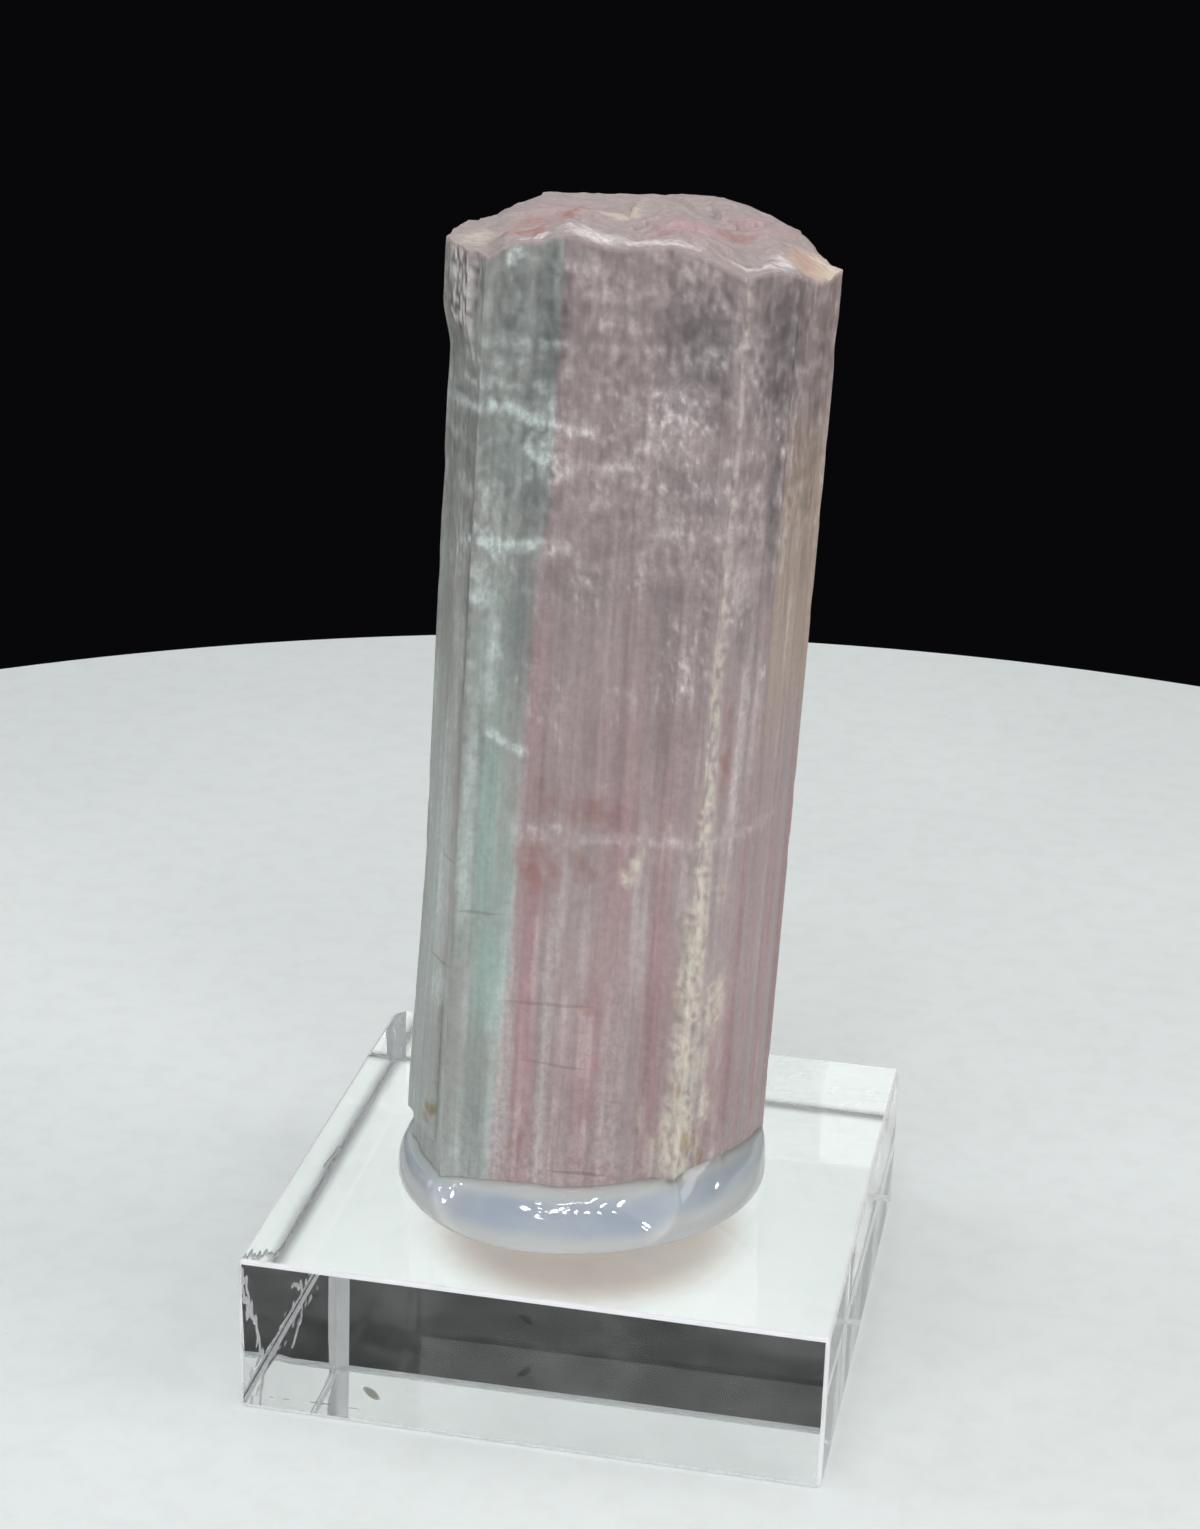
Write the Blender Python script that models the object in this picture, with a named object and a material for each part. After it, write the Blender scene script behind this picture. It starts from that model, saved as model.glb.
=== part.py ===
# Watermelon tourmaline crystal standing in mineral tack on a clear acrylic block

import math

import bmesh
import bpy
from mathutils import Euler, Matrix, Vector, noise

# Acrylic block, a square slab with its centre over the origin
BLOCK_SIDE = 0.035
BLOCK_HEIGHT = 0.010
BLOCK_EDGE = 0.0004
BLOCK_EDGE_STEPS = 2

# Crystal prism. Its own X runs to the right of the broad front face, Y to its back, Z up its length.
# Each row is a corner of the cross-section and the number of striae on the face that starts there.
CRYSTAL_CORNERS = (
    (-0.0089, -0.0064, 18),
    (0.0051, -0.0084, 5),
    (0.0081, -0.0061, 8),
    (0.0108, -0.0005, 7),
    (0.0086, 0.0049, 7),
    (0.0042, 0.0083, 13),
    (-0.0063, 0.0082, 7),
    (-0.0097, 0.0032, 6),
    (-0.0109, -0.0012, 7),
)
FACE_BOW = 0.00018
STRIA_DEPTH = 0.00018
STRIAE_PER_METRE = 620.0
STRIA_RUN_PER_METRE = 26.0
CORNER_HOLD = 0.08
BODY_LEVELS = 14
BODY_TOP = 0.0530

# The root narrows where it goes down into the tack
ROOT_HEIGHT = 0.0014
ROOT_INSET = 0.0008

# Where the prism stands: its foot above the floor, its turn about the vertical and its lean to the right
CRYSTAL_FOOT = (-0.00020, -0.00025, 0.0115)
CRYSTAL_TURN = math.radians(11.1)
CRYSTAL_LEAN = math.radians(2.05)

# Height of the broken end over the front rim and over the back rim, as (X, height) from left to right
FRONT_RIM = (
    (-0.0112, 0.0562),
    (-0.0088, 0.0563),
    (-0.0080, 0.0570),
    (-0.0060, 0.0575),
    (-0.0045, 0.0582),
    (-0.0024, 0.0575),
    (-0.0010, 0.0575),
    (0.0013, 0.0579),
    (0.0027, 0.0574),
    (0.0051, 0.0564),
    (0.0065, 0.0567),
    (0.0078, 0.0565),
    (0.0100, 0.0551),
    (0.0112, 0.0553),
)
BACK_RIM = (
    (-0.0112, 0.0563),
    (-0.0086, 0.0568),
    (-0.0063, 0.0573),
    (0.0000, 0.0576),
    (0.0042, 0.0577),
    (0.0070, 0.0572),
    (0.0090, 0.0566),
    (0.0112, 0.0557),
)
RIM_DEPTH = 0.0084
BREAK_RELIEF = 0.00055
BREAK_PER_METRE = 330.0
BREAK_STEP = 0.00040
BREAK_STEPS_PER_METRE = 230.0

# The broken end is a net of faces, whose first corner lies this many striae before the first prism corner
BREAK_NET_START = -2
BREAK_NET_COLUMNS = 20

# The upper left corner flares a little, and a splinter on the lower left side ends in a ledge above the root
FLARE_HEIGHT = 0.0500
FLARE_DEPTH = 0.0005
SPLINTER_FOOT = 0.0019
SPLINTER_STEP = 0.0003
SPLINTER_TOP = 0.0200
SPLINTER_DEPTH = 0.0004
SPLINTER_RIGHT = -0.0085
SPLINTER_BACK = 0.0026
SPLINTER_FRONT = -0.0052

# A crusted seam runs up the lower part of the right front corner
SEAM_CORNER = 1
SEAM_TOP = 0.028
SEAM_RELIEF = 0.00045
SEAM_WIDTH = 0.0016
SEAM_PER_METRE = 260.0

# Mineral tack: a bulging round pad, as (radius, height over the block), and the pocket that the crystal fills
TACK_CENTRE = (-0.0005, -0.0007)
TACK_PROFILE = (
    (0.01080, 0.0),
    (0.01125, 0.00035),
    (0.01150, 0.00090),
    (0.01145, 0.00150),
    (0.01115, 0.00215),
    (0.01060, 0.00280),
    (0.00980, 0.00335),
    (0.00860, 0.00370),
)
TACK_STEPS = 60
TACK_WAVE = 0.00022
TOUCH_GAP = 0.0003
POCKET_GAP = 0.0004
POCKET_RISE = 0.004


def clear_scene():
    for item in list(bpy.data.objects):
        bpy.data.objects.remove(item)


def material(name, colour, roughness, transmission, ior):
    made = bpy.data.materials.new(name)
    made.use_nodes = True
    shader = made.node_tree.nodes["Principled BSDF"]
    shader.inputs["Base Color"].default_value = (*colour, 1.0)
    shader.inputs["Roughness"].default_value = roughness
    shader.inputs["Metallic"].default_value = 0.0
    shader.inputs["Transmission Weight"].default_value = transmission
    shader.inputs["IOR"].default_value = ior
    return made


def add_object(name, bm, finish, sharp_angle):
    """One object from a bmesh, smooth apart from edges sharper than the angle."""
    bmesh.ops.recalc_face_normals(bm, faces=bm.faces)
    mesh = bpy.data.meshes.new(name)
    bm.to_mesh(mesh)
    bm.free()
    mesh.shade_smooth()
    mesh.set_sharp_from_angle(angle=math.radians(sharp_angle))
    mesh.materials.append(finish)
    made = bpy.data.objects.new(name, mesh)
    bpy.context.scene.collection.objects.link(made)
    return made


def between(points, x):
    """Height at x on a line through (x, height) points, level beyond its ends."""
    if x <= points[0][0]:
        return points[0][1]
    for (x0, h0), (x1, h1) in zip(points, points[1:]):
        if x <= x1:
            return h0 + (h1 - h0) * (x - x0) / (x1 - x0)
    return points[-1][1]


def ease(share):
    share = min(1.0, max(0.0, share))
    return share * share * (3.0 - 2.0 * share)


def outline_stations():
    """(point, outward normal, distance along the outline, share of its face) for each stria of the prism."""
    stations = []
    walked = 0.0
    for index, (x, y, striae) in enumerate(CRYSTAL_CORNERS):
        start = Vector((x, y, 0.0))
        end = Vector((*CRYSTAL_CORNERS[(index + 1) % len(CRYSTAL_CORNERS)][:2], 0.0))
        along = (end - start).normalized()
        outward = Vector((along.y, -along.x, 0.0))
        for step in range(striae):
            share = step / striae
            bow = FACE_BOW * 4.0 * share * (1.0 - share)
            point = start.lerp(end, share) + outward * bow
            stations.append((point, outward, walked + share * (end - start).length, share))
        walked += (end - start).length
    return stations


def stria_depth(walked, height):
    """How far a stria lies inside the flat face. Striae run up the crystal and change slowly with height."""
    place = Vector((walked * STRIAE_PER_METRE, height * STRIA_RUN_PER_METRE, 0.0))
    return STRIA_DEPTH * (1.0 + noise.noise(place))


def seam_bulge(point, height):
    """How far the crusted seam stands out or is eaten away beside its corner."""
    corner = Vector((*CRYSTAL_CORNERS[SEAM_CORNER][:2], 0.0))
    near = ease(1.0 - (point - corner).length / SEAM_WIDTH)
    low = ease((SEAM_TOP - height) / (0.3 * SEAM_TOP))
    place = Vector((point.x * SEAM_PER_METRE, point.y * SEAM_PER_METRE, height * SEAM_PER_METRE))
    return SEAM_RELIEF * near * low * noise.noise(place)


def left_bulge(point, height):
    """How far the lower splinter and the upper flare stand out of the left side."""
    if point.x > SPLINTER_RIGHT or not SPLINTER_FRONT < point.y < SPLINTER_BACK:
        return 0.0
    foot = ease((height - SPLINTER_FOOT) / SPLINTER_STEP)
    fading = 1.0 - ease((height - SPLINTER_FOOT) / (SPLINTER_TOP - SPLINTER_FOOT))
    flare = ease((height - FLARE_HEIGHT) / (BODY_TOP - FLARE_HEIGHT))
    return SPLINTER_DEPTH * foot * fading + FLARE_DEPTH * flare


def root_scale(height):
    """The root's share of the prism's width."""
    return 1.0 - ROOT_INSET / RIM_DEPTH * ease(1.0 - height / ROOT_HEIGHT)


def wall_point(station, height):
    """The point of the prism's side at one stria and one height."""
    point, outward, walked, share = station
    corner_hold = ease(min(share, 1.0 - share) / CORNER_HOLD) if share else 0.0
    moved = seam_bulge(point, height) + left_bulge(point, height) - stria_depth(walked, height) * corner_hold
    return (point + outward * moved) * root_scale(height)


def break_height(x, y):
    """Height of the broken upper end: from the front rim to the back rim, with ledges and a rough grain."""
    share = ease((y + RIM_DEPTH) / (2.0 * RIM_DEPTH))
    level = between(FRONT_RIM, x) * (1.0 - share) + between(BACK_RIM, x) * share
    inside = ease((RIM_DEPTH * RIM_DEPTH * 1.2 - x * x * 0.6 - y * y) / (RIM_DEPTH * RIM_DEPTH))
    grain = noise.noise(Vector((x, y, 0.0)) * BREAK_PER_METRE)
    ledges = noise.cell(Vector((x + 0.4 * y, y - 0.3 * x, 0.0)) * BREAK_STEPS_PER_METRE)
    return level + (0.35 + 0.65 * inside) * BREAK_RELIEF * grain - inside * BREAK_STEP * ledges


def extrude_ring(bm, ring):
    """A new ring on top of the last one, with its vertices in the same order round the crystal."""
    turn = zip(ring, ring[1:] + ring[:1])
    made = bmesh.ops.extrude_edge_only(bm, edges=[bm.edges.get(pair) for pair in turn])
    fresh = {item for item in made["geom"] if isinstance(item, bmesh.types.BMVert)}
    return [next(e.other_vert(v) for e in v.link_edges if e.other_vert(v) in fresh) for v in ring]


def fill_break(bm, ring):
    """Close the top ring with a net of faces, and lift its inner vertices to the broken surface."""
    turned = ring[BREAK_NET_START:] + ring[:BREAK_NET_START]
    half = len(ring) // 2
    front = turned[:BREAK_NET_COLUMNS + 1]
    back = turned[half:half + BREAK_NET_COLUMNS + 1]
    sides = [bm.edges.get(pair) for chain in (front, back) for pair in zip(chain, chain[1:])]
    net = bmesh.ops.grid_fill(bm, edges=sides, use_interp_simple=True)
    rim = set(ring)
    for vert in {vert for face in net["faces"] for vert in face.verts if vert not in rim}:
        vert.co.z = break_height(vert.co.x, vert.co.y)


def build_crystal(finish):
    """Rings of vertices from the root up, each moved out to the striated prism, and the broken end on top."""
    stations = outline_stations()
    bm = bmesh.new()
    ring = bmesh.ops.create_circle(bm, segments=len(stations), radius=RIM_DEPTH)["verts"]
    foot = ring
    low_heights = [0.0, ROOT_HEIGHT / 2, ROOT_HEIGHT, SPLINTER_FOOT, SPLINTER_FOOT + SPLINTER_STEP]
    body_heights = [BODY_TOP * level / BODY_LEVELS for level in range(1, BODY_LEVELS + 1)]
    for height in low_heights + body_heights:
        ring = extrude_ring(bm, ring) if height else ring
        for station, vert in zip(stations, ring):
            place = wall_point(station, height)
            vert.co = (place.x, place.y, height)
    ring = extrude_ring(bm, ring)
    for vert in ring:
        vert.co.z = break_height(vert.co.x, vert.co.y)
    fill_break(bm, ring)
    bm.faces.new(foot)
    bmesh.ops.triangulate(bm, faces=[face for face in bm.faces if len(face.verts) > 4])
    crystal = add_object("tourmaline_crystal", bm, finish, 8.0)
    crystal.location = CRYSTAL_FOOT
    crystal.rotation_euler = Euler((0.0, CRYSTAL_LEAN, CRYSTAL_TURN))
    return crystal


def build_block(finish):
    bm = bmesh.new()
    bmesh.ops.create_cube(bm, size=1.0)
    bmesh.ops.scale(bm, vec=(BLOCK_SIDE, BLOCK_SIDE, BLOCK_HEIGHT), verts=bm.verts)
    bmesh.ops.translate(bm, vec=(0.0, 0.0, BLOCK_HEIGHT / 2), verts=bm.verts)
    bmesh.ops.bevel(
        bm,
        geom=list(bm.edges),
        offset=BLOCK_EDGE,
        segments=BLOCK_EDGE_STEPS,
        profile=0.5,
        affect="EDGES",
    )
    return add_object("acrylic_block", bm, finish, 15.0)


def build_pocket_cutter():
    """The crystal's root, made larger by the gap: it cuts the pocket in the tack."""
    bm = bmesh.new()
    ring = []
    for x, y, _ in CRYSTAL_CORNERS:
        corner = Vector((x, y, 0.0))
        place = corner * root_scale(0.0) + corner.normalized() * POCKET_GAP
        ring.append(bm.verts.new((place.x, place.y, -TOUCH_GAP)))
    bm.faces.new(ring)
    for height in (ROOT_HEIGHT / 2, ROOT_HEIGHT, POCKET_RISE):
        ring = extrude_ring(bm, ring)
        for (x, y, _), vert in zip(CRYSTAL_CORNERS, ring):
            corner = Vector((x, y, 0.0))
            place = corner * root_scale(height) + corner.normalized() * (POCKET_GAP + FACE_BOW)
            vert.co = (place.x, place.y, height)
    bm.faces.new(ring)
    cutter = add_object("pocket_cutter", bm, bpy.data.materials.new("cutter"), 20.0)
    cutter.location = CRYSTAL_FOOT
    cutter.rotation_euler = Euler((0.0, CRYSTAL_LEAN, CRYSTAL_TURN))
    cutter.hide_render = True
    cutter.display_type = "WIRE"
    return cutter


def build_tack(finish, cutter):
    """A turned pad with a slightly wavy edge, cut by the crystal's foot."""
    bm = bmesh.new()
    floor = BLOCK_HEIGHT + TOUCH_GAP
    profile = [bm.verts.new((radius, 0.0, floor + height)) for radius, height in TACK_PROFILE]
    edges = [bm.edges.new(pair) for pair in zip(profile, profile[1:])]
    bmesh.ops.spin(
        bm,
        geom=profile + edges,
        cent=(0.0, 0.0, 0.0),
        axis=(0.0, 0.0, 1.0),
        angle=2.0 * math.pi,
        steps=TACK_STEPS,
        use_merge=True,
    )
    bmesh.ops.remove_doubles(bm, verts=bm.verts, dist=1e-6)
    bmesh.ops.holes_fill(bm, edges=[edge for edge in bm.edges if edge.is_boundary])
    for vert in bm.verts:
        turn = math.atan2(vert.co.y, vert.co.x)
        wave = math.sin(2.0 * turn + 0.6) + 0.6 * math.sin(3.0 * turn - 1.0) + 0.35 * math.sin(5.0 * turn)
        vert.co += Vector((math.cos(turn), math.sin(turn), 0.0)) * TACK_WAVE * wave
    bmesh.ops.transform(bm, matrix=Matrix.Translation((*TACK_CENTRE, 0.0)), verts=bm.verts)
    tack = add_object("mineral_tack", bm, finish, 40.0)
    pocket = tack.modifiers.new("pocket", "BOOLEAN")
    pocket.operation = "DIFFERENCE"
    pocket.solver = "EXACT"
    pocket.object = cutter
    return tack


def main():
    clear_scene()
    tourmaline = material("tourmaline", (0.62, 0.44, 0.47), 0.25, 0.5, 1.63)
    acrylic = material("acrylic", (0.95, 0.97, 0.96), 0.03, 1.0, 1.49)
    putty = material("tack", (0.74, 0.76, 0.84), 0.15, 0.35, 1.45)
    build_block(acrylic)
    build_tack(putty, build_pocket_cutter())
    build_crystal(tourmaline)


main()
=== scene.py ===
# Watermelon tourmaline on a clear block: the looks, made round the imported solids
import math

import bmesh
import bpy
import numpy as np
from mathutils import Euler, Matrix, Vector, noise


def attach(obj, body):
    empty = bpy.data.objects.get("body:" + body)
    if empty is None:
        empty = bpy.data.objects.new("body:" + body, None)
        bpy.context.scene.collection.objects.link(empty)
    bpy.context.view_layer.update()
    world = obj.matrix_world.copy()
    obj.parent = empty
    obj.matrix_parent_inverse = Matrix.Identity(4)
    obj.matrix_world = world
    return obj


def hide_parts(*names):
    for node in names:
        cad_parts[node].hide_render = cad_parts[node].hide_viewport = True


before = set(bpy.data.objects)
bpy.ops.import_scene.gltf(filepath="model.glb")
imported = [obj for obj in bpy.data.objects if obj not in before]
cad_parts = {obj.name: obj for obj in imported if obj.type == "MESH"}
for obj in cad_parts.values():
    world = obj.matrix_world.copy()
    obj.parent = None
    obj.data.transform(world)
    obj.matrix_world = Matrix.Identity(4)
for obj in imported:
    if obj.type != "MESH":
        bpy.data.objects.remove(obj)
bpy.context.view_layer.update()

mm = 0.001
# points closer than this count as level
tiny = 0.001 * mm

# How the crystal stands, as in the solids: its foot, its turn about the vertical and its lean to the right
stance = {"foot": (-0.20, -0.25, 11.5), "turn": 11.1, "lean": 2.05}

crystalShape = {
    # corner of the cross-section, and how many strips the face that starts there is cut into (mm)
    "corners": [(-8.9, -6.4, 118), (5.1, -8.4, 36), (8.1, -6.1, 52), (10.8, -0.5, 34), (8.6, 4.9, 32),
                (4.2, 8.3, 56), (-6.3, 8.2, 34), (-9.7, 3.2, 28), (-10.9, -1.2, 58)],
    "cuts": (83, 1),
    "bow": 0.18,
    "rootDepth": 0.9,
    "rimDepth": 8.4,
    "bodyTop": 53.0,
    # height of the broken end over the front and the back, left to right (mm)
    "frontRim": [(-11.2, 56.2), (-8.8, 56.3), (-8.0, 57.0), (-6.0, 57.5), (-4.5, 58.2), (-2.4, 57.5),
                 (-1.0, 57.5), (1.3, 57.9), (2.7, 57.4), (5.1, 56.4), (6.5, 56.7), (7.8, 56.5),
                 (10.0, 55.1), (11.2, 55.3)],
    "backRim": [(-11.2, 56.3), (-8.6, 56.8), (-6.3, 57.3), (0.0, 57.6), (4.2, 57.7), (7.0, 57.2),
                (9.0, 56.6), (11.2, 55.7)],
    "capSpan": 104,
    "ceiling": 58.05,
}


def clearSelection():
    if bpy.context.mode != "OBJECT":
        bpy.ops.object.mode_set(mode="OBJECT")
    bpy.ops.object.select_all(action="DESELECT")


def finishPiece(piece, name, node, material, angle):
    # names it, shades it, gives it its material and puts it in place of its solid
    clearSelection()
    piece.name = name
    piece.data.name = name
    piece.select_set(True)
    bpy.context.view_layer.objects.active = piece
    bpy.ops.object.transform_apply(location=True, rotation=True, scale=True)
    bpy.ops.object.shade_smooth_by_angle(angle=math.radians(angle))
    piece.data.materials.clear()
    piece.data.materials.append(material)
    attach(piece, "root")
    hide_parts(node)
    print(name, len(piece.data.polygons), "faces")


def readPoints(mesh):
    flat = np.zeros(len(mesh.vertices) * 3)
    mesh.vertices.foreach_get("co", flat)
    return flat.reshape(-1, 3)


def writePoints(mesh, points):
    mesh.vertices.foreach_set("co", points.astype(np.float32).ravel())
    mesh.update()


def stanceMatrix():
    turned = Euler((0.0, math.radians(stance["lean"]), math.radians(stance["turn"]))).to_matrix().to_4x4()
    return Matrix.Translation(Vector(stance["foot"]) * mm) @ turned


def ease(share):
    share = np.clip(share, 0.0, 1.0)
    return share * share * (3.0 - 2.0 * share)


# The crystal: a ring of fine strips drawn up to a prism, carved with striae and closed at its broken end

def outlineStrips():
    # each strip: its point, its outward direction, its distance along the outline, its share of its face
    corners = crystalShape["corners"]
    rows = []
    walked = 0.0
    for index, (x, y, strips) in enumerate(corners):
        nextX, nextY, _ = corners[(index + 1) % len(corners)]
        length = math.hypot(nextX - x, nextY - y)
        outX, outY = (nextY - y) / length, (x - nextX) / length
        for strip in range(strips):
            share = strip / strips
            bow = crystalShape["bow"] * 4.0 * share * (1.0 - share)
            rows.append((x + (nextX - x) * share + outX * bow, y + (nextY - y) * share + outY * bow,
                         outX, outY, walked + length * share, share))
        walked += length
    return np.array(rows)


carving = {
    # depth of the striae (mm), how many there are to a metre, and how far they run before they change
    "striae": [(0.12, 620.0, 26.0), (0.030, 1500.0, 45.0), (0.010, 3100.0, 80.0)],
    "cornerHold": 0.08,
    "cornerWear": 0.16,
    "wearFrom": 0.12,
    "seamCorner": (5.1, -8.4),
    "seamTop": 28.0,
    "seamFade": 8.4,
    "seamWidth": 1.6,
    "seamRelief": 0.45,
    "seamCrumb": 0.16,
    "splinterFoot": 1.9,
    "splinterStep": 0.3,
    "splinterTop": 20.0,
    "splinterDepth": 0.4,
    "flareHeight": 50.0,
    "flareDepth": 0.5,
    # splinter and flare lie to the left of this x and between these two y (mm)
    "bulgeSide": -8.5,
    "bulgeSpan": (-5.2, 2.6),
}


def striaeAt(walked, height):
    depth = 0.0
    for number, (size, across, along) in enumerate(carving["striae"]):
        place = Vector((walked * mm * across, height * mm * along, 7.3 * number))
        depth += size * (1.0 + noise.noise(place))
    return depth


def seamAt(x, y, height):
    cornerX, cornerY = carving["seamCorner"]
    near = float(ease(1.0 - math.hypot(x - cornerX, y - cornerY) / carving["seamWidth"]))
    low = float(ease((carving["seamTop"] - height) / carving["seamFade"]))
    if near * low == 0.0:
        return 0.0
    coarse = noise.noise(Vector((x, y, height)) * 0.26)
    fine = noise.noise(Vector((x, y, height * 0.7)) * 1.7)
    return near * low * (carving["seamRelief"] * coarse + carving["seamCrumb"] * fine)


def leftBulge(x, y, height):
    # how far the splinter and the flare stand out of the left side
    nearY, farY = carving["bulgeSpan"]
    if x > carving["bulgeSide"] or not nearY < y < farY:
        return 0.0
    climbed = height - carving["splinterFoot"]
    splinter = float(ease(climbed / carving["splinterStep"]))
    splinter *= 1.0 - float(ease(climbed / (carving["splinterTop"] - carving["splinterFoot"])))
    flareSpan = crystalShape["bodyTop"] - carving["flareHeight"]
    flare = float(ease((height - carving["flareHeight"]) / flareSpan))
    return carving["splinterDepth"] * splinter + carving["flareDepth"] * flare


def levelOver(rim, x):
    return np.interp(x, [row[0] for row in rim], [row[1] for row in rim])


breakage = {
    # how high each kind of unevenness of the broken end stands (mm)
    "grain": 0.40,
    "ledges": 0.30,
    "shards": 0.08,
    "chips": 0.12,
    "crumbs": 0.02,
    # and its spots of noise to a millimetre
    "grainSpots": 0.33,
    "ledgeSpots": 0.23,
    "shardSpots": 0.55,
    "chipSpots": 0.95,
    "crumbSpots": 3.1,
    # flakes: their number to a millimetre across and deep, their slope, and the range of their height (mm)
    "flakeSpots": (0.27, 0.34),
    "flakeSlope": 0.26,
    "flakeRange": (-0.4, 0.3),
    "flakeSink": 0.1,
}


def breakHeight(x, y):
    # the broken end: from the front rim to the back rim, with ledges, a rough grain and a fine one
    kinds = breakage
    depth = crystalShape["rimDepth"]
    share = float(ease((y + depth) / (2.0 * depth)))
    front = levelOver(crystalShape["frontRim"], x)
    back = levelOver(crystalShape["backRim"], x)
    inside = float(ease((depth * depth * 1.2 - x * x * 0.6 - y * y) / (depth * depth)))
    coarse = noise.noise(Vector((x, y, 0.0)) * kinds["grainSpots"])
    ledges = noise.cell(Vector((x + 0.4 * y, y - 0.3 * x, 0.0)) * kinds["ledgeSpots"])
    shards = noise.voronoi(Vector((x * 0.9, y * 1.4, 3.0)) * kinds["shardSpots"])[0]
    chips = abs(noise.noise(Vector((x + 0.6 * y, y, 5.0)) * kinds["chipSpots"]))
    crumbs = noise.noise(Vector((x, y, 9.0)) * kinds["crumbSpots"])
    # each flake of the break is a flat that tips its own way
    spotsX, spotsY = kinds["flakeSpots"]
    middle = noise.voronoi(Vector((x * spotsX, y * spotsY, 6.0)))[1][0]
    tips = noise.cell_vector(middle * 3.7)
    flake = (x - middle.x / spotsX) * (tips.x - 0.5) + (y - middle.y / spotsY) * (tips.y - 0.5)
    lowest, highest = kinds["flakeRange"]
    flake = min(max(kinds["flakeSlope"] * flake, lowest), highest) - kinds["flakeSink"]

    height = front * (1.0 - share) + back * share
    height += kinds["grain"] * coarse * (0.35 + 0.65 * inside) - kinds["ledges"] * inside * ledges
    height += inside * flake + kinds["shards"] * (shards[1] - shards[0] - 0.35)
    height += kinds["chips"] * (0.25 - chips) + kinds["crumbs"] * crumbs
    return min(height, crystalShape["ceiling"] + math.radians(stance["lean"]) * x)


def nearestStrips(points, strips):
    # which strip each point of a blank belongs to, by its direction from the middle
    angles = np.arctan2(strips[:, 1], strips[:, 0])
    order = np.argsort(angles)
    return order[np.searchsorted(angles[order], np.arctan2(points[:, 1], points[:, 0]) - 1e-5) % len(order)]


def wallPoint(strip, height):
    # where the carved wall stands on a strip at a height, in the crystal's own millimetres
    x, y, outX, outY, walked, share = strip
    hold = float(ease(min(share, 1.0 - share) / carving["cornerHold"]))
    moved = leftBulge(x, y, height) + seamAt(x, y, height) - striaeAt(walked, height) * hold
    wear = max(0.0, noise.noise(Vector((x * 0.3, y * 0.3, height * 0.42))) - carving["wearFrom"])
    moved -= carving["cornerWear"] * wear * (1.0 - hold)
    return x + outX * moved, y + outY * moved


def carvePrism(piece, strips):
    # moves each point of the blank from the plain outline to its carved place
    points = readPoints(piece.data)
    tops = [breakHeight(strip[0], strip[1]) for strip in strips]
    depth = crystalShape["rootDepth"]
    for index, strip in enumerate(nearestStrips(points, strips)):
        height = points[index, 2] / mm * (tops[strip] + depth) - depth
        x, y = wallPoint(strips[strip], height)
        points[index] = (x * mm, y * mm, height * mm)
    writePoints(piece.data, points)


def ringBlank(strips):
    # a ring with a point on each strip of the crystal's outline, open for editing with all of it selected
    clearSelection()
    bpy.ops.mesh.primitive_circle_add(vertices=len(strips), radius=10.0 * mm, fill_type="NOTHING",
                                      location=(0, 0, 0))
    piece = bpy.context.object
    ring = np.zeros((len(strips), 3))
    ring[:, :2] = strips[:, :2] * mm
    writePoints(piece.data, ring)
    bpy.ops.object.mode_set(mode="EDIT")
    bpy.ops.mesh.select_mode(type="VERT")
    bpy.ops.mesh.select_all(action="SELECT")
    return piece


def makeCrystal(material):
    strips = outlineStrips()
    piece = ringBlank(strips)
    # drawn up by one millimetre, so that a point's height in the blank is its share of the length
    bpy.ops.mesh.extrude_region_move(TRANSFORM_OT_translate={"value": (0, 0, mm)})
    for cuts in crystalShape["cuts"]:
        selectEdges(piece, lambda edge: abs(edge.verts[0].co.z - edge.verts[1].co.z) > tiny)
        bpy.ops.mesh.subdivide(number_cuts=cuts)
    selectEdges(piece, lambda edge: max(vert.co.z for vert in edge.verts) < tiny)
    bpy.ops.mesh.edge_face_add()
    bpy.ops.object.mode_set(mode="OBJECT")
    top = {index for index, point in enumerate(readPoints(piece.data)) if point[2] > mm - tiny}
    wallPoints = len(piece.data.vertices)
    carvePrism(piece, strips)
    bpy.ops.object.mode_set(mode="EDIT")
    selectEdges(piece, lambda edge: all(vert.index in top for vert in edge.verts))
    bpy.ops.mesh.fill_grid(span=crystalShape["capSpan"], use_interp_simple=True)
    bpy.ops.object.mode_set(mode="OBJECT")
    points = readPoints(piece.data)
    for index in range(wallPoints, len(points)):
        points[index, 2] = breakHeight(points[index, 0] / mm, points[index, 1] / mm) * mm
    writePoints(piece.data, points)
    bpy.ops.object.mode_set(mode="EDIT")
    bpy.ops.mesh.select_all(action="SELECT")
    bpy.ops.mesh.normals_make_consistent(inside=False)
    bpy.ops.object.mode_set(mode="OBJECT")
    walked = strips[nearestStrips(points, strips), 4]
    paintMasks(piece, points / mm, walked)
    piece.data.transform(stanceMatrix())
    finishPiece(piece, "tourmaline_prism", "tourmaline_crystal", material, 58.0)


def selectEdges(piece, wanted):
    bpy.ops.mesh.select_mode(type="EDGE")
    bpy.ops.mesh.select_all(action="DESELECT")
    form = bmesh.from_edit_mesh(piece.data)
    for edge in form.edges:
        if wanted(edge):
            edge.select = True
    form.select_flush_mode()
    bmesh.update_edit_mesh(piece.data)


# Small helpers for node trees

def newMaterial(name):
    material = bpy.data.materials.new(name)
    material.use_nodes = True
    tree = material.node_tree
    return material, tree, tree.nodes["Principled BSDF"]


def feed(tree, made, inputs):
    # gives each socket of a node its value, or links it to the socket that drives it
    for name, value in inputs.items():
        if isinstance(value, bpy.types.NodeSocket):
            tree.links.new(value, made.inputs[name])
        else:
            made.inputs[name].default_value = value


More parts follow.
